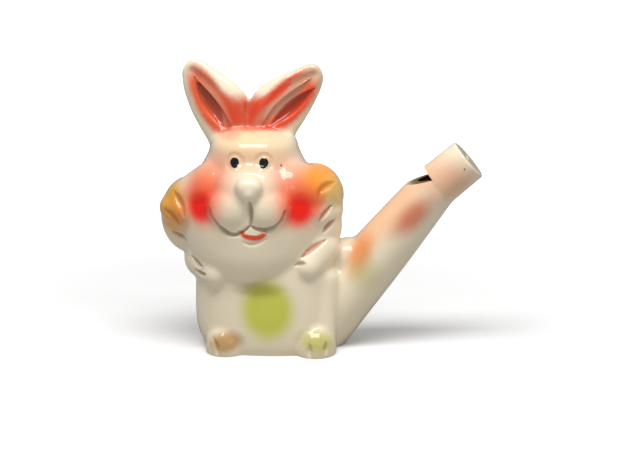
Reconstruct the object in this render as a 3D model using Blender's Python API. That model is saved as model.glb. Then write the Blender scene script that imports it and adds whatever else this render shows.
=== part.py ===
"""A ceramic rabbit whistle, slip-cast as one hollow piece.

The rabbit faces -Y and stands on the floor at Z = 0, with the origin on its sole under
the middle of the torso. Its voice is the pipe that leaves the left flank: breath enters
the slot in the mouthpiece and crosses the window, a slanting cut that ends in the blade,
and the bore leads down into the hollow body, which holds water and has its filling hole
high in the back.
"""

import math

import bmesh
import bpy
import numpy as np
from mathutils import Matrix, Vector
from mathutils.bvhtree import BVHTree

MM = 0.001

# Clay and surface
WALL = 2.4 * MM                   # thickness of the cast wall
MODEL_GRID = 0.5 * MM             # spacing of the modelled surface
CAVITY_GRID = 0.9 * MM            # spacing of the inner surface, which nobody shapes
FILLET_REACH = 1.6 * MM           # how far the big forms melt into each other
FEATURE_REACH = 0.7 * MM          # the same for the nose and eyes, as under a coat of glaze
CAVITY_REACH = 1.3 * MM
OUTSIDE_FACES = 9400              # faces left on the outside once it is thinned
CAVITY_FACES = 900
SINK = 3.0 * MM                   # clay below the floor, which is planed off flat
CUT_MARGIN = 1.0 * MM             # how far a cutter stands out of what it cuts
RING_POINTS = 64                  # points round the torso and head
SLIM_RING_POINTS = 40             # points round the ears and the pipe

# Torso
TORSO_WIDTH = 36.4 * MM
TORSO_FRONT = 14.2 * MM
TORSO_BACK = 13.6 * MM
TORSO_HEIGHT = 31.0 * MM
TORSO_SQUARENESS = 2.5

# Head, set off the torso's middle, away from the pipe
HEAD_SHIFT = -3.3 * MM
HEAD_BASE = 15.4 * MM
HEAD_HEIGHT = 40.9 * MM
HEAD_WIDTH = 38.0 * MM
HEAD_FRONT = 16.8 * MM
HEAD_BACK = 13.5 * MM
HEAD_SQUARENESS = 2.15

# Muzzle and nose; heights here are above the floor
JOWL_SIZE = (46.0 * MM, 22.0 * MM, 17.0 * MM)
JOWL_PLACE = (-3.9 * MM, -3.0 * MM, 35.0 * MM)
MUZZLE_SIZE = (17.5 * MM, 13.0 * MM, 15.2 * MM)
MUZZLE_HEIGHT = 39.2 * MM
MUZZLE_FORWARD = 11.2 * MM
PAD_SIZE = (12.6 * MM, 9.4 * MM, 11.6 * MM)
PAD_SPREAD = 4.1 * MM
PAD_HEIGHT = 37.0 * MM
PAD_FORWARD = 13.7 * MM
NOSE_SHIFT = 0.4 * MM             # off the head's middle, towards the pipe
NOSE_SIZE = (6.7 * MM, 5.4 * MM, 5.8 * MM)
NOSE_HEIGHT = 44.2 * MM
NOSE_POINT_SIZE = (4.6 * MM, 5.0 * MM, 5.4 * MM)
NOSE_POINT_HEIGHT = 42.3 * MM
NOSE_PROUD = 1.6 * MM

# Eyes
EYE_DIAMETER = 2.4 * MM
EYE_SPREAD = 3.55 * MM
EYE_HEIGHT = 48.2 * MM
EYE_PROUD = 0.15 * MM
SOCKET_DIAMETER = 4.4 * MM
SOCKET_DEPTH = 0.8 * MM

# Cheek tufts
TUFT_DEPTH = 13.0 * MM
LEFT_TUFT = (-19.3 * MM, -1.0 * MM, 32.8 * MM, 15.0 * MM, 19.6 * MM)  # x, y, height, width, tallness
RIGHT_TUFT = (11.4 * MM, -1.5 * MM, 39.0 * MM, 14.8 * MM, 14.6 * MM)
RIGHT_TUFT_END = (11.9 * MM, -2.5 * MM, 31.0 * MM, 13.6 * MM, 17.0 * MM)

# Ears
EAR_LENGTH = 23.6 * MM
EAR_WIDTH = 13.4 * MM
EAR_THICKNESS = 6.4 * MM
EAR_TIP_THINNING = 0.35           # share of the thickness lost at the tip
EAR_EDGE_SHARE = 0.45             # share of the thickness that even the narrowest end keeps
EAR_FULLNESS = 1.4                # how soon a wider section reaches the full thickness
EAR_SQUARENESS = 2.2
EAR_ROOT_HEIGHT = 50.2 * MM
EAR_ROOT_SPREADS = (5.6 * MM, 2.9 * MM)       # of the left and right ear, as seen
EAR_LEANS = (math.radians(-25.7), math.radians(32.0))
EAR_BENDS = (0.3 * MM, 1.2 * MM)              # towards each other, half way up
EAR_BACK_TILT = math.radians(4)
EAR_FOLD_DEPTH = 1.9 * MM
EAR_FOLD_WIDTH = 7.4 * MM
EAR_FOLDS = ((0.0, 1.0, 0.6), (0.16, 0.5, 0.6))     # offset and shares of the width and the depth
EAR_FOLD_RUN = ((0.3, 0.5), (0.5, 0.9), (0.7, 0.8), (0.88, 0.3))      # share of the length, fullness

# Arms and feet
ARM_ROOT_DIAMETER = 11.0 * MM
PAW_DIAMETER = 7.0 * MM
LEFT_ARM = ((-15.2 * MM, -4.0 * MM, 22.5 * MM), (-11.6 * MM, -10.6 * MM, 20.0 * MM))
RIGHT_ARM = ((12.8 * MM, -4.6 * MM, 25.4 * MM), (10.4 * MM, -10.0 * MM, 21.8 * MM))
FOOT_SIZE = (10.6 * MM, 13.0 * MM, 12.0 * MM)
FOOT_PLACES = ((-9.6 * MM, -9.2 * MM, 1.6 * MM), (12.6 * MM, -9.2 * MM, 1.6 * MM))
LEG_DIAMETER = 7.0 * MM
LEG_TOP = (14.6 * MM, -6.4 * MM, 18.0 * MM)
KNEE = (14.2 * MM, -8.2 * MM, 4.6 * MM)

# Pipe
PIPE_ANGLE = math.radians(51.5)
PIPE_ROOT = 10.9 * MM             # of the start of the pipe's axis, towards +X
PIPE_ROOT_HEIGHT = 2.0 * MM       # and above the floor
PIPE_LENGTH = 50.3 * MM
PIPE_ROOT_DIAMETER = 16.4 * MM
PIPE_MIDDLE_DIAMETER = 14.3 * MM
PIPE_NECK_DIAMETER = 11.4 * MM
PIPE_MIDDLE = 0.56                # share of the length where the middle diameter is
BORE_WALL = 1.7 * MM
BORE_END_DIAMETER = 8.4 * MM      # the bore's last stretch, drilled crisp up to the window
BORE_END_LENGTH = 7.0 * MM
BORE_END_REACH = 0.45 * MM        # past the end of the pipe's axis, to the foot of the window
WEB_PLACE = (20.5 * MM, 0.0, 21.5 * MM)         # clay that fills the crotch above the pipe's root
WEB_SIZE = (12.0 * MM, 11.0 * MM, 11.4 * MM)

# Mouthpiece and window
MOUTH_ANGLE = math.radians(40.5)
MOUTH_LENGTH = 9.7 * MM
MOUTH_DIAMETER = 11.3 * MM
MOUTH_END_DIAMETER = 10.9 * MM
MOUTH_DROP = 0.25 * MM            # of its axis below the pipe's
MOUTH_SHOULDER = 1.0 * MM         # by which it narrows where it enters the pipe
RAMP_LENGTH = 13.0 * MM
RAMP_ANGLE = math.radians(35)     # between the pipe and the slanting cut
SILL_HEIGHT = 2.3 * MM            # of the cut above the mouthpiece's axis, at its face
WINDWAY_WIDTH = 5.6 * MM
WINDWAY_HEIGHT = 1.5 * MM
WINDWAY_END_RAISE = 1.0 * MM      # of the slot above the mouthpiece's axis, at its end
WINDWAY_RAISE = 3.1 * MM          # and where it meets the window

# Filling hole, high in the back
HOLE_DIAMETER = 7.0 * MM
HOLE_HEIGHT = 33.0 * MM

# Strokes of the modelling tool
CREASE_WIDTH = 1.5 * MM
CREASE_DEPTH = 0.75 * MM
GROOVE_WIDTH = 2.0 * MM
GROOVE_DEPTH = 0.75 * MM
STROKE_ENDS = 0.35                # share of the width left at the ends of a stroke

# Strokes in the front view, as x and height in millimetres
SMILE = ((-12.5, 36.5), (-11.7, 34.4), (-9.4, 32.2), (-6.9, 31.2), (-4.9, 31.8), (-2.5, 33.5),
         (0.2, 32.6), (3.4, 33.4), (5.5, 36.8))
PHILTRUM = ((-2.7, 40.2), (-2.5, 37.0), (-2.5, 33.6))
LIP = ((-5.2, 31.2), (-2.6, 30.2), (1.6, 31.6))
TUFT_GROOVES = (
    ((-23.7, 38.7), (-21.4, 36.4), (-19.5, 33.6)),
    ((-24.8, 34.9), (-23.2, 33.4), (-21.5, 32.6)),
    ((-23.4, 28.8), (-21.2, 27.6), (-18.9, 27.0)),
    ((13.6, 40.9), (15.2, 42.0), (17.0, 42.4)),
    ((13.6, 33.9), (15.0, 35.4), (16.2, 36.6)),
    ((14.2, 30.5), (15.8, 31.6), (17.2, 32.8)),
)
FINGER_GROOVES = (
    ((-19.1, 23.2), (-17.0, 22.4), (-14.7, 22.0)),
    ((-17.1, 19.7), (-15.7, 19.6), (-14.2, 20.0)),
    ((9.1, 24.8), (12.0, 26.6), (15.3, 28.2)),
    ((7.8, 22.7), (9.0, 23.0), (10.2, 23.6)),
)
TOE_GROOVES = (
    ((-12.4, 4.4), (-11.6, 2.6), (-11.2, 0.6)),
    ((11.5, 3.6), (11.5, 2.0), (11.5, 0.4)),
    ((15.5, 3.8), (15.5, 2.4), (15.5, 1.0)),
)

# Outlines, as shares: height, width, front, back
TORSO_PROFILE = (
    (0.0, 0.82, 0.78, 0.84),
    (0.06, 0.91, 0.9, 0.92),
    (0.2, 0.99, 0.99, 0.98),
    (0.45, 1.0, 1.0, 1.0),
    (0.7, 0.97, 0.94, 0.97),
    (0.88, 0.84, 0.78, 0.86),
    (1.0, 0.55, 0.5, 0.6),
)
HEAD_PROFILE = (
    (0.0, 0.26, 0.5, 0.5),
    (0.07, 0.56, 0.8, 0.72),
    (0.18, 0.82, 0.95, 0.88),
    (0.32, 0.95, 1.0, 0.98),
    (0.47, 1.0, 1.0, 1.0),
    (0.6, 0.92, 0.91, 0.99),
    (0.71, 0.73, 0.78, 0.96),
    (0.82, 0.595, 0.73, 0.92),
    (0.91, 0.56, 0.68, 0.84),
    (0.96, 0.47, 0.54, 0.7),
    (1.0, 0.28, 0.3, 0.42),
)

# Outline of an ear, as shares: length, half width away from the other ear, half width towards it
EAR_PROFILE = (
    (0.0, 0.75, 0.8),
    (0.15, 0.8, 1.0),
    (0.35, 0.88, 1.24),
    (0.5, 0.9, 1.15),
    (0.7, 0.82, 0.8),
    (0.85, 0.66, 0.52),
    (0.95, 0.44, 0.32),
    (1.0, 0.08, 0.08),
)

X = Vector((1, 0, 0))
Y = Vector((0, 1, 0))
Z = Vector((0, 0, 1))


def clear_scene():
    for obj in list(bpy.data.objects):
        bpy.data.objects.remove(obj)


def add_object(name, mesh):
    obj = bpy.data.objects.new(name, mesh)
    bpy.context.scene.collection.objects.link(obj)
    return obj


def object_from(clay, name):
    bmesh.ops.recalc_face_normals(clay, faces=clay.faces)
    mesh = bpy.data.meshes.new(name)
    clay.to_mesh(mesh)
    clay.free()
    return add_object(name, mesh)


def settle(obj):
    """Turns an object's modifiers into its mesh."""
    graph = bpy.context.evaluated_depsgraph_get()
    mesh = bpy.data.meshes.new_from_object(obj.evaluated_get(graph))
    obj.modifiers.clear()
    obj.data = mesh


# Ways of adding clay

def add_ellipsoid(clay, centre, size):
    place = Matrix.Translation(centre) @ Matrix.Diagonal((*size, 1.0))
    bmesh.ops.create_uvsphere(clay, u_segments=48, v_segments=32, radius=0.5, matrix=place)


def add_hull(clay, balls):
    """Adds the skin stretched over balls, each a centre and a diameter."""
    lump = bmesh.new()
    for centre, diameter in balls:
        bmesh.ops.create_icosphere(
            lump, subdivisions=3, radius=diameter / 2, matrix=Matrix.Translation(centre))
    hull = bmesh.ops.convex_hull(lump, input=lump.verts)
    spare = set(hull["geom_interior"]) | set(hull["geom_unused"])
    bmesh.ops.delete(lump, geom=[v for v in spare if isinstance(v, bmesh.types.BMVert)])
    mesh = bpy.data.meshes.new("hull")
    lump.to_mesh(mesh)
    lump.free()
    clay.from_mesh(mesh)
    bpy.data.meshes.remove(mesh)


def add_skin(clay, rings):
    """Adds a closed skin over rings of points, each with as many points as the last."""
    loops = [[clay.verts.new(point) for point in ring] for ring in rings]
    for low, high in zip(loops, loops[1:]):
        for i in range(len(low)):
            j = (i + 1) % len(low)
            clay.faces.new((low[i], low[j], high[j], high[i]))
    clay.faces.new(reversed(loops[0]))
    clay.faces.new(loops[-1])


def oval(centre, across, deep, half_width, front, back, squareness=2.0, points=SLIM_RING_POINTS):
    """A superellipse round centre, with its own half depth in front and behind."""
    ring = []
    for i in range(points):
        angle = 2 * math.pi * i / points
        c, s = math.cos(angle), math.sin(angle)
        x = math.copysign(abs(c) ** (2 / squareness), c) * half_width
        y = math.copysign(abs(s) ** (2 / squareness), s) * (back if s > 0 else front)
        ring.append(centre + across * x + deep * y)
    return ring


def eased(rows, share):
    """The row of numbers at a share of the way up, on a smooth curve through the rows."""
    heights = [row[0] for row in rows]
    k = min(max(sum(h <= share for h in heights) - 1, 0), len(rows) - 2)
    before, low, high, after = (rows[min(max(k + i, 0), len(rows) - 1)] for i in (-1, 0, 1, 2))
    step = high[0] - low[0]
    t = (share - low[0]) / step
    values = []
    for a, b, c, d in zip(before[1:], low[1:], high[1:], after[1:]):
        start = (c - a) * step / max(high[0] - before[0], step)
        end = (d - b) * step / max(after[0] - low[0], step)
        values.append(
            b * (2 * t**3 - 3 * t**2 + 1) + start * (t**3 - 2 * t**2 + t)
            + c * (3 * t**2 - 2 * t**3) + end * (t**3 - t**2))
    return values


def add_bulk(clay, profile, middle, base, height, width, front, back, squareness, levels=26):
    """Adds a standing form whose level sections follow a profile of shares."""
    rings = []
    for level in range(levels + 1):
        share = level / levels
        wide, fore, rear = eased(profile, share)
        centre = Vector((middle, 0, base + height * share))
        rings.append(oval(
            centre, X, Y, width / 2 * wide, front * fore, back * rear, squareness, RING_POINTS))
    add_skin(clay, rings)


# The rabbit's forms

def add_torso(clay, inset=0.0):
    """The torso, or its hollow when there is an inset."""
    add_bulk(
        clay, TORSO_PROFILE, 0, inset, TORSO_HEIGHT - 2 * inset, TORSO_WIDTH - 2 * inset,
        TORSO_FRONT - inset, TORSO_BACK - inset, TORSO_SQUARENESS)
    if not inset:
        foot_width, foot_front, foot_back = TORSO_PROFILE[0][1:]
        sole = [
            oval(Z * height, X, Y, TORSO_WIDTH / 2 * foot_width, TORSO_FRONT * foot_front,
                 TORSO_BACK * foot_back, TORSO_SQUARENESS, RING_POINTS)
            for height in (-SINK, 1 * MM)]
        add_skin(clay, sole)


def add_head(clay, inset=0.0):
    """The head without its muzzle, or its hollow when there is an inset."""
    add_bulk(
        clay, HEAD_PROFILE, HEAD_SHIFT, HEAD_BASE + inset, HEAD_HEIGHT - 2 * inset,
        HEAD_WIDTH - 2 * inset, HEAD_FRONT - inset, HEAD_BACK - inset, HEAD_SQUARENESS)


def add_muzzle(clay):
    add_ellipsoid(clay, Vector(JOWL_PLACE), JOWL_SIZE)
    add_ellipsoid(clay, Vector((HEAD_SHIFT, -MUZZLE_FORWARD, MUZZLE_HEIGHT)), MUZZLE_SIZE)
    for side in (-1, 1):
        pad = Vector((HEAD_SHIFT + side * PAD_SPREAD, -PAD_FORWARD, PAD_HEIGHT))
        add_ellipsoid(clay, pad, PAD_SIZE)


def add_tufts(clay):
    for x, y, height, width, tallness in (LEFT_TUFT, RIGHT_TUFT, RIGHT_TUFT_END):
        add_ellipsoid(clay, Vector((x, y, height)), (width, TUFT_DEPTH, tallness))


def ear_axes(side):
    """An ear's root, its direction, and the directions across and out of its front."""
    ear = 0 if side < 0 else 1
    lean = EAR_LEANS[ear]
    root = Vector((HEAD_SHIFT + side * EAR_ROOT_SPREADS[ear], 1 * MM, EAR_ROOT_HEIGHT))
    along = Vector((math.sin(lean), math.tan(EAR_BACK_TILT), math.cos(lean))).normalized()
    across = Y.cross(along).normalized()
    return root, along, across, across.cross(along)


def ear_middle(side, t):
    """The middle of an ear at a share t of its length."""
    root, along, across, _ = ear_axes(side)
    bend = EAR_BENDS[0 if side < 0 else 1] * math.sin(math.pi * t)
    return root + along * (t * EAR_LENGTH) - across * side * bend


def add_ears(clay):
    for side in (-1, 1):
        _, _, across, front = ear_axes(side)
        rings = []
        for level in range(21):
            t = level / 20
            outer, inner = (EAR_WIDTH / 2 * value for value in eased(EAR_PROFILE, t))
            half = (outer + inner) / 2
            taper = min(1.0, EAR_EDGE_SHARE + half / EAR_WIDTH * EAR_FULLNESS)
            thick = EAR_THICKNESS / 2 * (1 - EAR_TIP_THINNING * t) * taper
            centre = ear_middle(side, t) + across * side * (outer - inner) / 2
            rings.append(oval(centre, across, front, half, thick, thick, EAR_SQUARENESS))
        add_skin(clay, rings)


def add_limbs(clay):
    for root, paw in (LEFT_ARM, RIGHT_ARM):
        add_hull(clay, ((Vector(root), ARM_ROOT_DIAMETER), (Vector(paw), PAW_DIAMETER)))
    for place in FOOT_PLACES:
        add_ellipsoid(clay, Vector(place), FOOT_SIZE)
    add_hull(clay, ((Vector(KNEE), LEG_DIAMETER), (Vector(LEG_TOP), LEG_DIAMETER)))


def pipe_axes():
    """The pipe's root, its direction and the direction out of its upper side."""
    along = Vector((math.cos(PIPE_ANGLE), 0, math.sin(PIPE_ANGLE)))
    return Vector((PIPE_ROOT, 0, PIPE_ROOT_HEIGHT)), along, along.cross(Y)


def mouth_axes():
    """The same for the mouthpiece, which is bent down from the pipe."""
    root, along, up = pipe_axes()
    out = Vector((math.cos(MOUTH_ANGLE), 0, math.sin(MOUTH_ANGLE)))
    return root + along * PIPE_LENGTH - up * MOUTH_DROP, out, out.cross(Y)


def add_pipe(clay, inset=0.0):
    """The pipe up to the mouthpiece, or its bore when there is an inset."""
    root, along, up = pipe_axes()
    diameters = (
        (0.0, PIPE_ROOT_DIAMETER), (PIPE_MIDDLE, PIPE_MIDDLE_DIAMETER),
        (1.0, PIPE_NECK_DIAMETER))
    rings = []
    for level in range(9):
        share = level / 8
        radius = eased(diameters, share)[0] / 2 - inset
        reach = PIPE_ROOT_DIAMETER / 4 * (1 - share) if inset else 0.0
        centre = root + along * (PIPE_LENGTH * share + reach)
        rings.append(oval(centre, Y, up, radius, radius, radius))
    add_skin(clay, rings)
    if not inset:
        add_ellipsoid(clay, Vector(WEB_PLACE), WEB_SIZE)


def add_mouthpiece(clay):
    root, out, up = mouth_axes()
    rings = []
    for share, diameter in ((-0.2, MOUTH_DIAMETER - 2 * MOUTH_SHOULDER), (0.0, MOUTH_DIAMETER),
                            (1.0, MOUTH_END_DIAMETER)):
        radius = diameter / 2
        centre = root + out * (MOUTH_LENGTH * share)
        rings.append(oval(centre, Y, up, radius, radius, radius))
    add_skin(clay, rings)


def blocked_out():
    """The big forms, melted into one skin."""
    clay = bmesh.new()
    add_torso(clay)
    add_head(clay)
    add_muzzle(clay)
    add_tufts(clay)
    add_ears(clay)
    add_limbs(clay)
    add_pipe(clay)
    body = object_from(clay, "rabbit_whistle")
    fuse(body, MODEL_GRID, FILLET_REACH)
    settle(body)
    return body


def fuse(obj, grid, reach):
    """Makes one skin of overlapping forms and melts its creases as far as reach."""
    remesh = obj.modifiers.new("fuse", "REMESH")
    remesh.mode = "VOXEL"
    remesh.voxel_size = grid
    smooth = obj.modifiers.new("fillets", "SMOOTH")
    smooth.factor = 0.5
    smooth.iterations = round((reach / grid) ** 2)


def front_of(body, x, height):
    """The point of the body's front seen at a place in the front view."""
    body.data.calc_loop_triangles()
    tree = BVHTree.FromPolygons(
        [v.co for v in body.data.vertices], [p.vertices for p in body.data.polygons])
    return tree.ray_cast(Vector((x, -1, height)), Y)[0]


def with_features(body):
    """Adds the nose, the eyes and the mouthpiece, whose edges stay crisper."""
    clay = bmesh.new()
    clay.from_mesh(body.data)
    for height, size in ((NOSE_HEIGHT, NOSE_SIZE), (NOSE_POINT_HEIGHT, NOSE_POINT_SIZE)):
        tip = front_of(body, HEAD_SHIFT + NOSE_SHIFT, height)
        add_ellipsoid(clay, tip + Y * (size[1] / 2 - NOSE_PROUD), size)
    for side in (-1, 1):
        eye = front_of(body, HEAD_SHIFT + side * EYE_SPREAD, EYE_HEIGHT)
        eye += Y * (EYE_DIAMETER / 2 - EYE_PROUD)
        add_ellipsoid(clay, eye, (EYE_DIAMETER,) * 3)
    add_mouthpiece(clay)
    mesh = bpy.data.meshes.new("rabbit_whistle")
    clay.to_mesh(mesh)
    clay.free()
    body.data = mesh
    fuse(body, MODEL_GRID, FEATURE_REACH)
    settle(body)


# Strokes pressed into the front, drawn in the front view as x and height

def curve_through(points, steps=6):
    """Points on a smooth curve through the given ones."""
    knots = [points[0], *points, points[-1]]
    line = []
    for a, b, c, d in zip(knots, knots[1:], knots[2:], knots[3:]):
        for step in range(steps):
            t = step / steps
            line.append([
                0.5 * (2 * q + (r - p) * t + (2 * p - 5 * q + 4 * r - s) * t**2
                       + (3 * q - p - 3 * r + s) * t**3)
                for p, q, r, s in zip(a, b, c, d)])
    line.append(list(points[-1]))
    return line


def press(mesh, line, depth):
    """Presses a stroke into the front of a mesh: x, height and half width along a line."""
    count = len(mesh.vertices)
    places = np.empty(count * 3)
    normals = np.empty(count * 3)
    mesh.vertices.foreach_get("co", places)
    mesh.vertex_normals.foreach_get("vector", normals)
    places = places.reshape(-1, 3)
    normals = normals.reshape(-1, 3)
    flat = places[:, (0, 2)]
    best = np.zeros(count)
    for start, end in zip(np.array(line), np.array(line)[1:]):
        run = end[:2] - start[:2]
        t = np.clip((flat - start[:2]) @ run / max(run @ run, 1e-12), 0, 1)
        away = np.linalg.norm(flat - start[:2] - t[:, None] * run, axis=1)
        half = start[2] + t * (end[2] - start[2])
        best = np.maximum(best, 1 - np.minimum(away / half, 1) ** 2)
    facing = np.clip(-normals[:, 1] * 3, 0, 1)
    places -= normals * (depth * best**1.5 * facing)[:, None]
    mesh.vertices.foreach_set("co", places.ravel())
    mesh.update()


def stroke(mesh, points, width, depth):
    """A curved stroke with thin ends through points in millimetres in the front view."""
    line = curve_through([(x * MM, z * MM) for x, z in points])
    last = len(line) - 1
    tapered = []
    for i, (x, z) in enumerate(line):
        fullness = STROKE_ENDS + (1 - STROKE_ENDS) * math.sin(math.pi * i / last)
        tapered.append((x, z, width / 2 * fullness))
    press(mesh, tapered, depth)


def fold_ears(mesh):
    """The long hollow in each ear, wide at the root and fading out below the tip."""
    for side in (-1, 1):
        _, _, across, _ = ear_axes(side)
        for offset, width_share, depth_share in EAR_FOLDS:
            line = []
            for share, fullness in EAR_FOLD_RUN:
                point = ear_middle(side, share) + across * side * offset * EAR_WIDTH / 2
                line.append((point.x, point.z, EAR_FOLD_WIDTH * width_share / 2 * fullness))
            press(mesh, line, EAR_FOLD_DEPTH * depth_share)


def carve_face(mesh):
    for side in (-1, 1):
        x = HEAD_SHIFT + side * EYE_SPREAD
        ring = []
        for i in range(13):
            angle = 2 * math.pi * i / 12
            radius = (EYE_DIAMETER + SOCKET_DIAMETER) / 4
            ring.append((x + radius * math.cos(angle), EYE_HEIGHT + radius * math.sin(angle),
                         (SOCKET_DIAMETER - EYE_DIAMETER) / 3))
        press(mesh, ring, SOCKET_DEPTH)
    stroke(mesh, SMILE, CREASE_WIDTH, CREASE_DEPTH)
    stroke(mesh, PHILTRUM, CREASE_WIDTH, CREASE_DEPTH)
    stroke(mesh, LIP, CREASE_WIDTH, CREASE_DEPTH)


def carve_limbs(mesh):
    for groove in TUFT_GROOVES + FINGER_GROOVES + TOE_GROOVES:
        stroke(mesh, groove, GROOVE_WIDTH, GROOVE_DEPTH)


# Cuts

def cut_away(body, cutter):
    cutter.hide_render = True
    cutter.display_type = "WIRE"
    cut = body.modifiers.new(cutter.name, "BOOLEAN")
    cut.operation = "DIFFERENCE"
    cut.solver = "EXACT"
    cut.object = cutter


def thin(obj, faces):
    """Keeps about as many faces as asked, most of them where the form bends."""
    count = sum(len(polygon.vertices) - 2 for polygon in obj.data.polygons)
    decimate = obj.modifiers.new("thin", "DECIMATE")
    decimate.ratio = min(1.0, faces / count)


def box_cutter(name, low, high):
    clay = bmesh.new()
    size = high - low
    place = Matrix.Translation((low + high) / 2) @ Matrix.Diagonal((*size, 1.0))
    bmesh.ops.create_cube(clay, size=1.0, matrix=place)
    return object_from(clay, name)


def prism_cutter(name, outline, half_width):
    """A cutter with an outline in the plane of the pipe, as deep as the pipe is thick."""
    clay = bmesh.new()
    face = clay.faces.new([clay.verts.new(point - Y * half_width) for point in outline])
    sides = bmesh.ops.extrude_face_region(clay, geom=[face])["geom"]
    moved = [v for v in sides if isinstance(v, bmesh.types.BMVert)]
    bmesh.ops.translate(clay, verts=moved, vec=Y * 2 * half_width)
    return object_from(clay, name)


def plane_sole(body):
    reach = Vector((1, 1, 0)) * (PIPE_LENGTH * 2)
    cut_away(body, box_cutter("floor_plane", -reach - Z * 2 * SINK, reach))


def hollow_out(body):
    clay = bmesh.new()
    add_torso(clay, WALL)
    add_head(clay, WALL)
    add_pipe(clay, BORE_WALL)
    hollow = object_from(clay, "hollow")
    fuse(hollow, CAVITY_GRID, CAVITY_REACH)
    settle(hollow)
    thin(hollow, CAVITY_FACES)
    settle(hollow)
    cut_away(body, hollow)


def cut_bore_end(body):
    """The crisp end of the bore, which leaves a sharp blade at the window."""
    root, along, _ = pipe_axes()
    clay = bmesh.new()
    length = BORE_END_LENGTH + BORE_END_REACH
    place = Matrix.Translation(root + along * (PIPE_LENGTH + BORE_END_REACH - length / 2))
    place = place @ along.to_track_quat("Z", "Y").to_matrix().to_4x4()
    bmesh.ops.create_cone(
        clay, cap_ends=True, segments=SLIM_RING_POINTS, radius1=BORE_END_DIAMETER / 2,
        radius2=BORE_END_DIAMETER / 2, depth=length, matrix=place)
    cut_away(body, object_from(clay, "bore_end"))


def cut_window(body):
    """The slanting cut that opens the bore under the mouthpiece and ends in the blade."""
    mouth, _, up = mouth_axes()
    angle = PIPE_ANGLE - RAMP_ANGLE
    sill = mouth + up * SILL_HEIGHT
    far = sill - Vector((math.cos(angle), 0, math.sin(angle))) * RAMP_LENGTH
    outline = [far, sill, mouth + up * MOUTH_DIAMETER, far + Z * 1.5 * MOUTH_DIAMETER]
    cut_away(body, prism_cutter("window", outline, MOUTH_DIAMETER))


def cut_windway(body):
    """The flat slot that aims the breath across the window at the blade."""
    mouth, out, up = mouth_axes()
    inner = mouth + up * WINDWAY_RAISE
    outer = mouth + out * MOUTH_LENGTH + up * WINDWAY_END_RAISE
    run = (outer - inner).normalized()
    lift = run.cross(Y) * WINDWAY_HEIGHT / 2
    inner -= run * CUT_MARGIN
    outer += run * CUT_MARGIN
    outline = [inner - lift, outer - lift, outer + lift, inner + lift]
    cut_away(body, prism_cutter("windway", outline, WINDWAY_WIDTH / 2))


def cut_hole(body):
    clay = bmesh.new()
    place = Matrix.Translation((HEAD_SHIFT, HEAD_BACK, HOLE_HEIGHT))
    place = place @ Matrix.Rotation(math.pi / 2, 4, "X")
    bmesh.ops.create_cone(
        clay, cap_ends=True, segments=28, radius1=HOLE_DIAMETER / 2,
        radius2=HOLE_DIAMETER / 2, depth=4 * WALL, matrix=place)
    cut_away(body, object_from(clay, "filling_hole"))


def glaze():
    material = bpy.data.materials.new("cream_glaze")
    material.use_nodes = True
    shader = material.node_tree.nodes["Principled BSDF"]
    shader.inputs["Base Color"].default_value = (0.80, 0.70, 0.55, 1.0)
    shader.inputs["Roughness"].default_value = 0.12
    shader.inputs["Metallic"].default_value = 0.0
    return material


def main():
    clear_scene()
    body = blocked_out()
    with_features(body)
    fold_ears(body.data)
    carve_face(body.data)
    carve_limbs(body.data)
    thin(body, OUTSIDE_FACES)
    settle(body)
    plane_sole(body)
    hollow_out(body)
    cut_bore_end(body)
    cut_window(body)
    cut_windway(body)
    cut_hole(body)
    body.data.materials.clear()
    body.data.materials.append(glaze())


main()
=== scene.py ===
import math

import bmesh
import bpy
from mathutils import Matrix, Vector
from mathutils.bvhtree import BVHTree


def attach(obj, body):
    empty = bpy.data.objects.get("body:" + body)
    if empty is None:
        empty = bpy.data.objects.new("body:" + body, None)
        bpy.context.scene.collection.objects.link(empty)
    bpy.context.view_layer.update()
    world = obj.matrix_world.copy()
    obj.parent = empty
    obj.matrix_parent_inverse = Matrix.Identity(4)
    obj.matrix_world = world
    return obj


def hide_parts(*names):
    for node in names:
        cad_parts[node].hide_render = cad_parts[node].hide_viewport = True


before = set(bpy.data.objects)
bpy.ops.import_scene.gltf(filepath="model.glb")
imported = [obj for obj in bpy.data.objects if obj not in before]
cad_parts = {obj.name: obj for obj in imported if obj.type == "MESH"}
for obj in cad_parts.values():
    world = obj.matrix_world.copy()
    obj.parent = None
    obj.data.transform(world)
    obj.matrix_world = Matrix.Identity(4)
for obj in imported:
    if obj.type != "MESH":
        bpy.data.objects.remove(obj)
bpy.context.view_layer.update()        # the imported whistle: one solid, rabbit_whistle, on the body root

# The rabbit is modelled in millimetres in the CAD's frame, and scaled to metres once it is done.
mm = 0.001
across = Vector((1, 0, 0))
deep = Vector((0, 1, 0))
up = Vector((0, 0, 1))


# Camera, at the photograph's angle

shot = {
    "azimuth": 4.0,
    "elevation": 13.0,
    "distance": 420.0,
    "aim": (11.78, 0.0, 30.2),      # what stands in the middle of the picture
    "pixel": 0.25,                  # millimetres for each pixel at the aim
    "pictureWidth": 630,
    "sensor": 36.0,
}


def makeCamera(shot):
    turn = math.radians(shot["azimuth"])
    rise = math.radians(shot["elevation"])
    level = math.cos(rise)
    away = Vector((math.sin(turn) * level, -math.cos(turn) * level, math.sin(rise)))
    lens = bpy.data.cameras.new("camera")
    lens.sensor_width = shot["sensor"]
    lens.lens = shot["sensor"] * shot["distance"] / (shot["pixel"] * shot["pictureWidth"])
    lens.clip_start = 0.01
    camera = bpy.data.objects.new("camera", lens)
    bpy.context.scene.collection.objects.link(camera)
    camera.location = (Vector(shot["aim"]) + away * shot["distance"]) * mm
    camera.rotation_mode = "QUATERNION"
    camera.rotation_quaternion = (-away).to_track_quat("-Z", "Y")
    bpy.context.scene.camera = camera


makeCamera(shot)
print("camera placed")


# Ways of handling clay

def newObject(name, mesh):
    obj = bpy.data.objects.new(name, mesh)
    bpy.context.scene.collection.objects.link(obj)
    return obj


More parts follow.
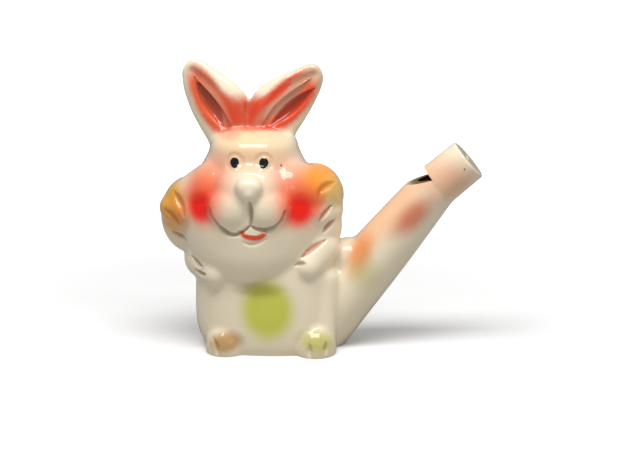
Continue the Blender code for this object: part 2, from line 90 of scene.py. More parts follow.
def clayObject(clay, name, material=None):
    bmesh.ops.recalc_face_normals(clay, faces=clay.faces)
    mesh = bpy.data.meshes.new(name)
    clay.to_mesh(mesh)
    clay.free()
    if material:
        mesh.materials.append(material)
    return newObject(name, mesh)


def settle(obj):             # turns the modifiers into plain mesh
    graph = bpy.context.evaluated_depsgraph_get()
    mesh = bpy.data.meshes.new_from_object(obj.evaluated_get(graph))
    obj.modifiers.clear()
    old = obj.data
    obj.data = mesh
    bpy.data.meshes.remove(old)


def ball(clay, centre, size):
    place = Matrix.Translation(centre) @ Matrix.Diagonal((*size, 1.0))
    bmesh.ops.create_uvsphere(clay, u_segments=64, v_segments=40, radius=0.5, matrix=place)


def stretched(clay, balls):  # the skin stretched over balls, each a centre and a diameter
    lump = bmesh.new()
    for centre, diameter in balls:
        place = Matrix.Translation(centre)
        bmesh.ops.create_icosphere(lump, subdivisions=4, radius=diameter / 2, matrix=place)
    hull = bmesh.ops.convex_hull(lump, input=lump.verts)
    spare = set(hull["geom_interior"]) | set(hull["geom_unused"])
    bmesh.ops.delete(lump, geom=[v for v in spare if isinstance(v, bmesh.types.BMVert)])
    mesh = bpy.data.meshes.new("stretched")
    lump.to_mesh(mesh)
    lump.free()
    clay.from_mesh(mesh)
    bpy.data.meshes.remove(mesh)


def skin(clay, rings):       # a closed skin over rings of points
    loops = [[clay.verts.new(point) for point in ring] for ring in rings]
    for low, high in zip(loops, loops[1:]):
        for i in range(len(low)):
            j = (i + 1) % len(low)
            clay.faces.new((low[i], low[j], high[j], high[i]))
    clay.faces.new(reversed(loops[0]))
    clay.faces.new(loops[-1])


def oval(centre, side, depth, halfWidth, front, rear, squareness=2.0, points=96):
    ring = []
    for i in range(points):
        angle = 2 * math.pi * i / points
        c, s = math.cos(angle), math.sin(angle)
        x = math.copysign(abs(c) ** (2 / squareness), c) * halfWidth
        y = math.copysign(abs(s) ** (2 / squareness), s) * (rear if s > 0 else front)
        ring.append(centre + side * x + depth * y)
    return ring


def eased(rows, share):      # the row at a share of the way up, on a smooth curve through the rows
    k = min(max(sum(row[0] <= share for row in rows) - 1, 0), len(rows) - 2)
    before, low, high, after = (rows[min(max(k + i, 0), len(rows) - 1)] for i in (-1, 0, 1, 2))
    step = high[0] - low[0]
    t = (share - low[0]) / step
    values = []
    for a, b, c, d in zip(before[1:], low[1:], high[1:], after[1:]):
        start = (c - a) * step / max(high[0] - before[0], step)
        end = (d - b) * step / max(after[0] - low[0], step)
        values.append(
            b * (2 * t**3 - 3 * t**2 + 1) + start * (t**3 - 2 * t**2 + t)
            + c * (3 * t**2 - 2 * t**3) + end * (t**3 - t**2))
    return values


def standing(clay, form, middle, base, inset=0.0, levels=48):
    height = form["height"] - 2 * inset
    rings = []
    for level in range(levels + 1):
        share = level / levels
        wide, front, rear = eased(form["profile"], share)
        centre = Vector((middle, 0, base + inset + height * share))
        rings.append(oval(
            centre, across, deep, (form["width"] / 2 - inset) * wide,
            (form["front"] - inset) * front, (form["back"] - inset) * rear, form["squareness"]))
    skin(clay, rings)


surface = {
    "grid": 0.42,            # spacing of the modelled skin
    "hollowGrid": 0.8,
    "fillet": 1.6,           # how far the big forms melt into each other
    "softening": 0.62,       # the same for the nose and eyes, as under a coat of glaze
    "hollowSoftening": 1.12,
    "sink": 3.0,             # clay below the floor, which is planed off
    "soleReach": 200.0,      # of the cut that planes it off
    "sharpAngle": 40.0,      # edges that turn more than this are shaded as sharp
    "wall": 2.4,
    "boreWall": 1.7,
}


def fuse(obj, grid, reach):
    remesh = obj.modifiers.new("fuse", "REMESH")
    remesh.mode = "VOXEL"
    remesh.voxel_size = grid
    smooth = obj.modifiers.new("melt", "SMOOTH")
    smooth.factor = 0.5
    smooth.iterations = round((reach / grid) ** 2)
    settle(obj)


# Torso and head

torso = {
    "width": 36.4,
    "front": 14.2,
    "back": 13.6,
    "height": 31.0,
    "squareness": 2.5,
    # share of the height, and shares of the width, the front and the back there
    "profile": (
        (0.0, 0.84, 0.96, 0.84), (0.06, 0.92, 1.0, 0.92), (0.2, 0.99, 1.02, 0.98),
        (0.45, 1.0, 1.0, 1.0), (0.7, 0.97, 0.94, 0.97), (0.88, 0.84, 0.78, 0.86),
        (1.0, 0.55, 0.5, 0.6),
    ),
}
head = {
    "shift": -3.3,           # off the torso's middle, away from the pipe
    "base": 15.4,
    "width": 38.0,
    "front": 16.8,
    "back": 13.5,
    "height": 39.2,
    "squareness": 2.15,
    "profile": (
        (0.0, 0.26, 0.5, 0.5), (0.073, 0.56, 0.8, 0.72), (0.188, 0.82, 0.95, 0.88),
        (0.334, 0.95, 1.0, 0.98), (0.49, 1.0, 1.0, 1.0), (0.626, 0.92, 0.91, 0.99),
        (0.741, 0.73, 0.79, 0.96), (0.855, 0.595, 0.74, 0.92), (0.925, 0.55, 0.69, 0.86),
        (0.97, 0.46, 0.57, 0.74), (1.0, 0.28, 0.34, 0.46),
    ),
}


def addTorso(clay, inset=0.0):
    standing(clay, torso, 0.0, 0.0, inset)
    if not inset:
        wide, front, rear = torso["profile"][0][1:]
        skin(clay, [
            oval(up * height, across, deep, torso["width"] / 2 * wide, torso["front"] * front,
                 torso["back"] * rear, torso["squareness"])
            for height in (-surface["sink"], 1.0)])


def addHead(clay, inset=0.0):
    standing(clay, head, head["shift"], head["base"], inset)


# Muzzle, nose and eyes

face = {
    "jowlSize": (46.0, 22.0, 17.0),
    "jowlPlace": (-3.9, -3.0, 35.0),
    # the skin stretched between head and tufts on either side: centre and diameter of two balls
    "cheeks": (
        (((-11.2, -5.4, 39.6), 16.6), ((-19.6, -2.6, 35.6), 12.8)),
        (((4.6, -5.4, 40.0), 16.6), ((12.6, -2.6, 38.6), 13.2)),
    ),
    "muzzleSize": (19.0, 13.4, 15.6),
    "muzzleHeight": 40.2,
    "muzzleForward": 11.0,
    "padSize": (12.2, 9.4, 11.4),
    "padSpread": 4.3,
    "padHeight": 37.0,
    "padForward": 13.6,
    # balls that the nose is stretched over: shift off the head's middle, height, diameter
    "nose": ((-0.35, 42.9, 5.2), (1.15, 42.9, 5.2), (0.4, 41.7, 4.4)),
    "noseProud": 1.9,
    "eyeDiameter": 2.5,
    "eyeSpread": 3.55,
    "eyeHeight": 48.2,
    "eyeProud": 0.2,
}


def addMuzzle(clay):
    ball(clay, Vector(face["jowlPlace"]), face["jowlSize"])
    for balls in face["cheeks"]:
        stretched(clay, [(Vector(centre), diameter) for centre, diameter in balls])
    ball(clay, Vector((head["shift"], -face["muzzleForward"], face["muzzleHeight"])),
         face["muzzleSize"])
    for side in (-1, 1):
        pad = Vector((head["shift"] + side * face["padSpread"], -face["padForward"],
                      face["padHeight"]))
        ball(clay, pad, face["padSize"])


def addNose(clay, skinTree):
    balls = []
    for shift, height, diameter in face["nose"]:
        tip = onFront(skinTree, head["shift"] + shift, height)
        balls.append((tip + deep * (diameter / 2 - face["noseProud"]), diameter))
    stretched(clay, balls)


def addEyes(clay, skinTree):
    radius = face["eyeDiameter"] / 2
    for side in (-1, 1):
        eye = onFront(skinTree, head["shift"] + side * face["eyeSpread"], face["eyeHeight"])
        ball(clay, eye + deep * (radius - face["eyeProud"]), (2 * radius,) * 3)


# Cheek tufts, ears, arms and feet

tufts = {
    "depth": 13.0,
    "lobes": (               # x, y, height, width, tallness
        (-19.3, -1.0, 32.8, 15.0, 19.6),
        (11.4, -1.5, 39.0, 14.8, 14.6),
        (11.9, -2.5, 31.0, 13.6, 17.0),
    ),
}
ears = {
    "length": 23.6,
    "width": 13.4,
    "thickness": 6.4,
    "tipThinning": 0.35,     # share of the thickness lost on the way to the tip
    "edgeShare": 0.45,       # share of it left where the ear is narrowest
    "fullness": 1.4,         # how fast it fills out as the ear widens
    "squareness": 2.2,
    "rootDepth": 1.0,
    "rootHeight": 50.2,
    "rootSpreads": (5.6, 2.9),      # left and right in the picture
    "leans": (-25.7, 32.0),
    "bends": (0.3, 1.2),
    "backTilt": 4.0,
    # share of the length, half widths away from and towards the other ear
    "profile": (
        (0.0, 0.75, 0.8), (0.15, 0.8, 1.0), (0.35, 0.88, 1.24), (0.5, 0.9, 1.15),
        (0.7, 0.82, 0.8), (0.85, 0.66, 0.52), (0.95, 0.44, 0.32), (1.0, 0.08, 0.08),
    ),
}
limbs = {
    "armRoot": 11.0,
    "paw": 7.0,
    "arms": (
        ((-15.2, -4.0, 22.5), (-11.6, -10.6, 20.0)),
        ((12.8, -4.6, 25.4), (10.4, -10.0, 21.8)),
    ),
    "footSize": (10.6, 13.0, 12.0),
    "feet": ((-9.6, -9.2, 1.6), (12.6, -9.2, 1.6)),
    "knee": (14.2, -8.2, 4.6),
    "hip": (14.6, -6.4, 18.0),
    "leg": 7.0,
}


def addTufts(clay):
    for x, y, height, width, tallness in tufts["lobes"]:
        ball(clay, Vector((x, y, height)), (width, tufts["depth"], tallness))


def earAxes(side):
    ear = 0 if side < 0 else 1
    lean = math.radians(ears["leans"][ear])
    root = Vector((head["shift"] + side * ears["rootSpreads"][ear], ears["rootDepth"],
                   ears["rootHeight"]))
    along = Vector((math.sin(lean), math.tan(math.radians(ears["backTilt"])), math.cos(lean)))
    along.normalize()
    wide = deep.cross(along).normalized()
    return root, along, wide, wide.cross(along)


def earMiddle(side, t):
    root, along, wide, _ = earAxes(side)
    bend = ears["bends"][0 if side < 0 else 1] * math.sin(math.pi * t)
    return root + along * (t * ears["length"]) - wide * side * bend


def addEars(clay, levels=40):
    for side in (-1, 1):
        _, _, wide, front = earAxes(side)
        rings = []
        for level in range(levels + 1):
            t = level / levels
            outer, inner = (ears["width"] / 2 * value for value in eased(ears["profile"], t))
            half = (outer + inner) / 2
            thick = ears["thickness"] / 2 * (1 - ears["tipThinning"] * t)
            thick *= min(1.0, ears["edgeShare"] + half / ears["width"] * ears["fullness"])
            centre = earMiddle(side, t) + wide * side * (outer - inner) / 2
            rings.append(oval(centre, wide, front, half, thick, thick, ears["squareness"], 64))
        skin(clay, rings)


def addLimbs(clay):
    for root, paw in limbs["arms"]:
        stretched(clay, ((Vector(root), limbs["armRoot"]), (Vector(paw), limbs["paw"])))
    for place in limbs["feet"]:
        ball(clay, Vector(place), limbs["footSize"])
    stretched(clay, ((Vector(limbs["knee"]), limbs["leg"]), (Vector(limbs["hip"]), limbs["leg"])))


# Pipe and mouthpiece

pipe = {
    "angle": 51.5,
    "root": (10.9, 2.0),
    "length": 50.3,
    "diameters": ((0.0, 16.4), (0.56, 14.3), (1.0, 11.4)),      # share of the length, diameter
    "web": ((20.5, 0.0, 21.5), (12.0, 11.0, 11.4)),      # clay that fills the crotch at its root
    "boreEnd": (8.4, 7.0, 0.45),     # diameter and length of its crisp end, and reach past the pipe
    "mouthAngle": 40.5,
    "mouthLength": 9.7,
    "mouthDiameter": 11.3,
    "mouthEnd": 10.9,
    "mouthDrop": 0.25,       # of its axis below the pipe's
    "ramp": 35.0,            # between the pipe and the slanting cut that opens the window
    "rampLength": 13.0,
    "sill": 2.3,             # of that cut above the mouthpiece's axis, at its face
    "slotWidth": 5.6,
    "slotHeight": 1.5,
    "slotRaises": (3.1, 1.0),       # of the windway above the axis, inside and at the end
}
hole = {"diameter": 7.0, "height": 33.0}


def pipeAxes():
    angle = math.radians(pipe["angle"])
    along = Vector((math.cos(angle), 0, math.sin(angle)))
    return Vector((pipe["root"][0], 0, pipe["root"][1])), along, along.cross(deep)


def mouthAxes():
    root, along, lift = pipeAxes()
    angle = math.radians(pipe["mouthAngle"])
    out = Vector((math.cos(angle), 0, math.sin(angle)))
    return root + along * pipe["length"] - lift * pipe["mouthDrop"], out, out.cross(deep)


def addPipe(clay, inset=0.0, levels=16):
    root, along, lift = pipeAxes()
    reach = pipe["diameters"][0][1] / 4 if inset else 0.0
    rings = []
    for level in range(levels + 1):
        share = level / levels
        radius = eased(pipe["diameters"], share)[0] / 2 - inset
        centre = root + along * (pipe["length"] * share + reach * (1 - share))
        rings.append(oval(centre, deep, lift, radius, radius, radius, 2.0, 72))
    skin(clay, rings)
    if not inset:
        ball(clay, Vector(pipe["web"][0]), pipe["web"][1])


def addMouthpiece(clay):
    root, out, lift = mouthAxes()
    rings = []
    for share, diameter in ((-0.2, pipe["mouthDiameter"] - 2), (0.0, pipe["mouthDiameter"]),
                            (1.0, pipe["mouthEnd"])):
        centre = root + out * (pipe["mouthLength"] * share)
        rings.append(oval(centre, deep, lift, *(diameter / 2,) * 3, 2.0, 72))
    skin(clay, rings)


def skinTreeOf(obj):
    mesh = obj.data
    return BVHTree.FromPolygons([v.co for v in mesh.vertices], [p.vertices for p in mesh.polygons])


def onFront(skinTree, x, height):      # the point of the skin seen there from the front
    return skinTree.ray_cast(Vector((x, -1000, height)), deep)[0]


def modelRabbit():
    clay = bmesh.new()
    addTorso(clay)
    addHead(clay)
    addMuzzle(clay)
    addTufts(clay)
    addEars(clay)
    addLimbs(clay)
    addPipe(clay)
    rabbit = clayObject(clay, "rabbit_ceramic")
    fuse(rabbit, surface["grid"], surface["fillet"])
    clay = bmesh.new()
    clay.from_mesh(rabbit.data)
    skinTree = skinTreeOf(rabbit)
    addNose(clay, skinTree)
    addEyes(clay, skinTree)
    addMouthpiece(clay)
    clay.to_mesh(rabbit.data)
    clay.free()
    fuse(rabbit, surface["grid"], surface["softening"])
    return rabbit


# Colours and materials

def tone(red, green, blue):  # a colour as it shows on screen, from 0 to 255
    linear = []
    for value in (red, green, blue):
        v = value / 255
        linear.append(v / 12.92 if v <= 0.04045 else ((v + 0.055) / 1.055) ** 2.4)
    return (*linear, 1.0)


def put(tree, kind, inputs=None, **settings):      # a node, its settings and what goes into it
    node = tree.nodes.new(kind)
    for name, value in settings.items():
        setattr(node, name, value)
    for name, value in (inputs or {}).items():
        if isinstance(value, bpy.types.NodeSocket):
            tree.links.new(value, node.inputs[name])
        else:
            node.inputs[name].default_value = value
    return node


def mixed(tree, factor, first, second):
    return put(tree, "ShaderNodeMix", {0: factor, 6: first, 7: second},
               data_type="RGBA").outputs[2]


def sums(tree, operation, *values):
    return put(tree, "ShaderNodeMath", dict(enumerate(values)), operation=operation).outputs[0]


def ramped(tree, value, low, high, bottom=0.0, top=1.0, kind="SMOOTHSTEP"):
    return put(tree, "ShaderNodeMapRange", {
        "Value": value, "From Min": low, "From Max": high, "To Min": bottom, "To Max": top},
        interpolation_type=kind).outputs["Result"]


def newGroup(name, inputs, outputs):
    tree = bpy.data.node_groups.new(name, "ShaderNodeTree")
    for label, kind, value in inputs:
        socket = tree.interface.new_socket(label, in_out="INPUT", socket_type=kind)
        socket.default_value = value
    for label, kind in outputs:
        tree.interface.new_socket(label, in_out="OUTPUT", socket_type=kind)
    return tree, tree.nodes.new("NodeGroupInput").outputs, tree.nodes.new("NodeGroupOutput").inputs


def makeOvalSpot():       # an oval spot with a soft edge, for airbrushed colour and for painted shade
    tree, given, result = newGroup("ovalSpot", (
        ("Place", "NodeSocketVector", (0, 0, 0)),
        ("Centre", "NodeSocketVector", (0, 0, 0)),
        ("Reach", "NodeSocketVector", (1, 1, 1)),
        ("Lean", "NodeSocketFloat", 0.0),
        ("Softness", "NodeSocketFloat", 0.5),
        ("Scatter", "NodeSocketFloat", 0.1),
    ), (("Mask", "NodeSocketFloat"),))
    off = put(tree, "ShaderNodeVectorMath", {0: given["Place"], 1: given["Centre"]},
              operation="SUBTRACT").outputs[0]
    turned = put(tree, "ShaderNodeVectorRotate", {"Vector": off, "Angle": given["Lean"]},
                 rotation_type="Y_AXIS").outputs[0]
    share = put(tree, "ShaderNodeVectorMath", {0: turned, 1: given["Reach"]},
                operation="DIVIDE").outputs[0]
    away = put(tree, "ShaderNodeVectorMath", {0: share}, operation="LENGTH").outputs["Value"]
    grain = put(tree, "ShaderNodeTexNoise", {
        "Vector": given["Place"], "Scale": 1.1, "Detail": 3.0, "Roughness": 0.6}).outputs["Fac"]
    stray = sums(tree, "MULTIPLY", sums(tree, "SUBTRACT", grain, 0.5), given["Scatter"])
    distance = sums(tree, "ADD", away, stray)
    inner = sums(tree, "SUBTRACT", 1.0, given["Softness"])
    outer = sums(tree, "ADD", 1.0, given["Softness"])
    mask = ramped(tree, distance, inner, outer, 1.0, 0.0)
    tree.links.new(mask, result["Mask"])
    return tree


def makeFineGrain():         # slow waves and fine pits, for the glaze and the bare clay
    tree, given, result = newGroup("fineGrain", (
        ("Place", "NodeSocketVector", (0, 0, 0)),
        ("Wave Size", "NodeSocketFloat", 5.0),
        ("Pit Size", "NodeSocketFloat", 0.4),
        ("Pits", "NodeSocketFloat", 0.2),
    ), (("Height", "NodeSocketFloat"), ("Wave", "NodeSocketFloat")))
    wave = put(tree, "ShaderNodeTexNoise", {
        "Vector": given["Place"], "Scale": sums(tree, "DIVIDE", 1.0, given["Wave Size"]),
        "Detail": 2.0, "Roughness": 0.4}).outputs["Fac"]
    pits = put(tree, "ShaderNodeTexNoise", {
        "Vector": given["Place"], "Scale": sums(tree, "DIVIDE", 1.0, given["Pit Size"]),
        "Detail": 3.0, "Roughness": 0.7}).outputs["Fac"]
    height = sums(tree, "ADD", wave, sums(tree, "MULTIPLY", pits, given["Pits"]))
    tree.links.new(height, result["Height"])
    tree.links.new(wave, result["Wave"])
    return tree


def grained(tree, grain, place, look, shader):      # the grain's height and wave, on a shader
    texture = put(tree, "ShaderNodeGroup", {}, node_tree=grain)
    tree.links.new(place, texture.inputs["Place"])
    for label, key in (("Wave Size", "waveSize"), ("Pit Size", "pitSize"), ("Pits", "pits")):
        texture.inputs[label].default_value = look[key]
    bump = put(tree, "ShaderNodeBump", {
        "Height": texture.outputs["Height"], "Distance": look["grainHeight"] * mm,
        "Strength": 1.0})
    rough = ramped(tree, texture.outputs["Wave"], 0.2, 0.8, *look["roughness"])
    tree.links.new(rough, shader.inputs["Roughness"])
    tree.links.new(bump.outputs[0], shader.inputs["Normal"])


def spotted(tree, spot, place, centre, reach, lean=0.0, softness=0.1, scatter=0.0):
    node = put(tree, "ShaderNodeGroup", {}, node_tree=spot)
    tree.links.new(place, node.inputs["Place"])
    node.inputs["Centre"].default_value = centre
    node.inputs["Reach"].default_value = reach
    node.inputs["Lean"].default_value = math.radians(lean)
    node.inputs["Softness"].default_value = softness
    node.inputs["Scatter"].default_value = scatter
    return node.outputs["Mask"]


def newMaterial(name):
    material = bpy.data.materials.new(name)
    material.use_nodes = True
    tree = material.node_tree
    place = put(tree, "ShaderNodeVectorMath", {
        0: put(tree, "ShaderNodeTexCoord").outputs["Object"], "Scale": 1 / mm},
        operation="SCALE").outputs[0]
    return material, tree, tree.nodes["Principled BSDF"], place


# Sprayed colour and painted shade: centre, reach, lean in degrees, softness, strength and colour.
# A lean turns the spot's upper end towards -X, a negative one towards +X.
sprayAndShade = (
    # warm breath of colour over the forehead, cheeks and pipe, and painted shade across the brow
    ("forehead", (-3.3, -10.0, 53.0), (9.5, 9.0, 5.0), 0, 0.6, 0.75, (252, 206, 156)),
    # painted shade: a darker band across the brow, below the lit forehead
    ("browShade", (-3.1, -13.0, 48.4), (9.0, 8.0, 2.8), 0, 0.7, 0.5, (222, 178, 138)),
    ("crownLeft", (-9.4, -7.0, 54.6), (3.4, 5.0, 1.6), -14, 0.6, 0.5, (236, 146, 110)),
    ("hazeLeft", (-13.0, -10.0, 42.0), (6.2, 9.0, 6.6), 0, 0.7, 0.85, (244, 112, 66)),
    ("hazeRight", (7.2, -10.0, 41.4), (6.0, 9.0, 6.4), 0, 0.7, 0.8, (248, 122, 78)),
    # cheek tufts
    ("tuftLeft", (-22.6, -3.0, 35.8), (5.6, 10.0, 7.0), 16, 0.35, 0.95, (236, 166, 54)),
    ("tuftLeftDeep", (-20.4, -6.0, 34.4), (2.2, 6.0, 3.6), 30, 0.7, 0.6, (232, 110, 28)),
    ("tuftLeftDark", (-22.6, -5.0, 38.2), (1.6, 6.0, 3.0), 40, 0.7, 0.45, (186, 130, 34)),
    ("tuftRight", (13.0, -4.0, 42.6), (5.8, 10.0, 4.8), 30, 0.45, 0.95, (254, 156, 48)),
    ("tuftRightLow", (17.0, -4.0, 40.0), (3.2, 8.0, 3.6), 10, 0.6, 0.7, (206, 174, 80)),
    ("tuftRightDeep", (13.0, -8.0, 37.8), (1.8, 6.0, 3.0), 0, 0.7, 0.7, (236, 104, 52)),
    # blushes
    ("blushHaloLeft", (-14.4, -11.0, 38.0), (4.9, 8.0, 5.2), 0, 0.6, 0.8, (255, 84, 34)),
    ("blushHaloRight", (8.4, -11.0, 37.6), (4.9, 8.0, 5.2), 0, 0.6, 0.8, (255, 84, 34)),
    ("blushLeft", (-14.9, -11.0, 37.2), (3.2, 7.0, 3.5), 0, 0.5, 0.98, (252, 14, 0)),
    ("blushRight", (8.7, -11.0, 36.9), (3.2, 7.0, 3.6), 0, 0.5, 0.98, (252, 20, 0)),
    # ears
    ("earLeft", (-14.8, -1.0, 62.0), (3.8, 3.8, 9.9), 27, 0.25, 0.97, (224, 88, 44)),
    ("earLeftFoot", (-11.0, -1.0, 58.6), (4.0, 3.8, 5.2), 30, 0.3, 0.95, (226, 94, 54)),
    ("earRight", (5.9, -1.0, 62.2), (4.9, 3.8, 11.8), -43, 0.22, 0.97, (232, 72, 28)),
    ("web", (-4.8, -1.0, 58.2), (6.0, 3.8, 4.6), 0, 0.45, 0.95, (214, 74, 34)),
    ("earLeftPale", (-13.2, -1.0, 61.6), (1.4, 3.8, 7.4), 30, 0.7, 0.75, (206, 142, 118)),
    ("earRightPale", (5.0, -1.0, 63.0), (1.9, 3.8, 9.6), -46, 0.5, 0.9, (206, 160, 132)),
    ("earRightTip", (12.2, -1.0, 67.8), (3.2, 3.8, 2.4), -40, 0.6, 0.8, (214, 190, 160)),
    # belly and feet, with painted shadow under the chin
    ("belly", (1.1, -14.0, 11.8), (6.2, 6.0, 7.2), 4, 0.4, 0.92, (204, 208, 60)),
    # painted shadow: a darker olive band at the top of the belly, under the chin
    ("chinShadow", (-1.0, -14.0, 16.9), (4.8, 6.0, 1.6), 0, 0.7, 0.65, (150, 138, 36)),
    ("footLeft", (-9.2, -14.0, 3.6), (4.0, 5.0, 2.4), 12, 0.5, 0.85, (178, 132, 58)),
    ("footRight", (13.2, -14.0, 4.0), (4.2, 5.0, 2.6), -8, 0.6, 0.8, (186, 180, 76)),
    # pipe
    ("pipeUpper", (31.0, -2.0, 35.0), (3.6, 8.0, 14.0), -38.5, 0.6, 0.7, (250, 186, 136)),
    ("pipeBase", (23.4, -5.0, 24.4), (2.6, 7.0, 5.0), -20, 0.7, 0.85, (232, 138, 70)),
    ("pipeYellow", (24.4, -6.0, 19.6), (3.4, 6.0, 3.6), -20, 0.8, 0.45, (190, 186, 96)),
    ("pipePatch", (36.2, -5.0, 34.0), (2.6, 5.6, 5.8), -45, 0.7, 0.85, (210, 104, 66)),
    ("collar", (44.6, -4.0, 43.0), (5.4, 8.0, 4.6), 0, 0.7, 0.6, (232, 152, 110)),
)
glaze = {
    "cream": (246, 232, 204),
    "black": (5, 5, 6),
    "lip": (232, 78, 40),
    "teeth": (252, 246, 232),
    "speck": (132, 62, 34),
    "scatter": 0.16,         # of the sprayed colour at the edges of its spots
    # spots with a clear edge: centre, reach, lean and softness
    "lipSpot": ((-2.1, -19.0, 32.2), (3.9, 5.0, 2.5), -8, 0.12),
    "lipLack": ((-2.5, -19.0, 33.5), (4.4, 5.0, 2.3), -8, 0.12),      # what the lip's spot lacks
    "teethSpot": ((-2.1, -19.0, 31.6), (1.4, 5.0, 0.28), -8, 0.3),
    "eyeDepth": -13.0,
    "eyeReach": (1.12, 4.0, 1.24),
    "eyeSoftness": 0.06,
    "specks": ((5.64, 66.55), (4.31, 47.25), (48.62, 45.94)),      # x and height
    "speckDepth": -8.0,
    "speckReach": (0.2, 12.0, 0.26),
    "speckSoftness": 0.5,
    "waveSize": 6.0,
    "pitSize": 0.5,
    "pits": 0.03,
    "grainHeight": 0.05,
    "roughness": (0.25, 0.4),
    "coatRoughness": 0.07,
    "coatIor": 1.42,
    "specular": 0.15,
    # painted shade and colour along the pressed lines: name of the lines' mask, strength, colour
    "lineShadeAndColour": (
        # painted shade: the smile crease darkened where shade falls in it
        ("crease", 0.5, (132, 104, 76)),
        # painted shade: the ear grooves darkened over the coral, in the deep folds
        ("earGroove", 0.85, (150, 36, 10)),
        ("earGrooveLeft", 0.65, (150, 46, 18)),
        # darker red along the right tuft's grooves
        ("redGroove", 0.6, (206, 88, 52)),
        # painted shade: the grooves by the tufts and arms darkened brown on the cream
        ("brownGroove", 0.4, (140, 104, 62)),
        # darker orange along the tuft grooves
        ("orangeGroove", 0.5, (204, 104, 28)),
        # the red band: sprayed colour, not pressed in
        ("redBand", 0.8, (236, 66, 28)),
    ),
}


def makeGlaze(spot, grain):
    material, tree, shader, place = newMaterial("creamGlaze")

    def spotMask(*form):
        return spotted(tree, spot, place, *form)

    colour = tone(*glaze["cream"])
    for _, centre, reach, lean, softness, strength, paint in sprayAndShade:
        mask = spotMask(centre, reach, lean, softness, glaze["scatter"])
        colour = mixed(tree, sums(tree, "MULTIPLY", mask, strength), colour, tone(*paint))
    # painted shade and colour along the pressed lines, from their masks
    for name, strength, paint in glaze["lineShadeAndColour"]:
        lineShadeAndColour = put(tree, "ShaderNodeAttribute", attribute_name=name).outputs["Fac"]
        mask = sums(tree, "MULTIPLY", ramped(tree, lineShadeAndColour, 0.0, 0.95), strength)
        colour = mixed(tree, mask, colour, tone(*paint))
    for x, height in glaze["specks"]:
        mask = spotMask((x, glaze["speckDepth"], height), glaze["speckReach"], 0,
                        glaze["speckSoftness"])
        colour = mixed(tree, mask, colour, tone(*glaze["speck"]))
    lip = sums(tree, "SUBTRACT", spotMask(*glaze["lipSpot"]), spotMask(*glaze["lipLack"]))
    lip = put(tree, "ShaderNodeClamp", {"Value": lip}).outputs[0]
    colour = mixed(tree, lip, colour, tone(*glaze["lip"]))
    colour = mixed(tree, spotMask(*glaze["teethSpot"]), colour, tone(*glaze["teeth"]))
    for side in (-1, 1):
        eye = (head["shift"] + side * face["eyeSpread"], glaze["eyeDepth"], face["eyeHeight"])
        mask = spotMask(eye, glaze["eyeReach"], 0, glaze["eyeSoftness"])
        colour = mixed(tree, mask, colour, tone(*glaze["black"]))
    tree.links.new(colour, shader.inputs["Base Color"])
    grained(tree, grain, place, glaze, shader)
    shader.inputs["Metallic"].default_value = 0.0
    shader.inputs["Coat Weight"].default_value = 1.0
    shader.inputs["Coat Roughness"].default_value = glaze["coatRoughness"]
    shader.inputs["Coat IOR"].default_value = glaze["coatIor"]
    shader.inputs["Specular IOR Level"].default_value = glaze["specular"]
    return material


bareClay = {
    "colour": (222, 210, 188),
    "windowShadeTint": (104, 82, 26),        # olive-brown glaze in the window, darkened further as painted shade of its shadowed inside
    "windowShadeSpot": ((41.0, 0.0, 41.5), (6.0, 8.0, 5.0), 0, 0.3, 0.1),      # with its scatter last
    "waveSize": 2.0,
    "pitSize": 0.3,
    "pits": 0.6,
    "grainHeight": 0.12,
    "roughness": (0.7, 0.9),
}


def makeBareClay(spot, grain):
    material, tree, shader, place = newMaterial("bareClay")
    # olive-brown glaze colour and painted shade inside the window
    run = spotted(tree, spot, place, *bareClay["windowShadeSpot"])
    colour = mixed(tree, run, tone(*bareClay["colour"]), tone(*bareClay["windowShadeTint"]))
    tree.links.new(colour, shader.inputs["Base Color"])
    grained(tree, grain, place, bareClay, shader)
    return material


ovalSpot = makeOvalSpot()
fineGrain = makeFineGrain()
creamGlaze = makeGlaze(ovalSpot, fineGrain)
clayMaterial = makeBareClay(ovalSpot, fineGrain)
print("glaze and clay mixed")


# Tool marks: lines drawn on the skin and pressed in, or raised where the depth is negative

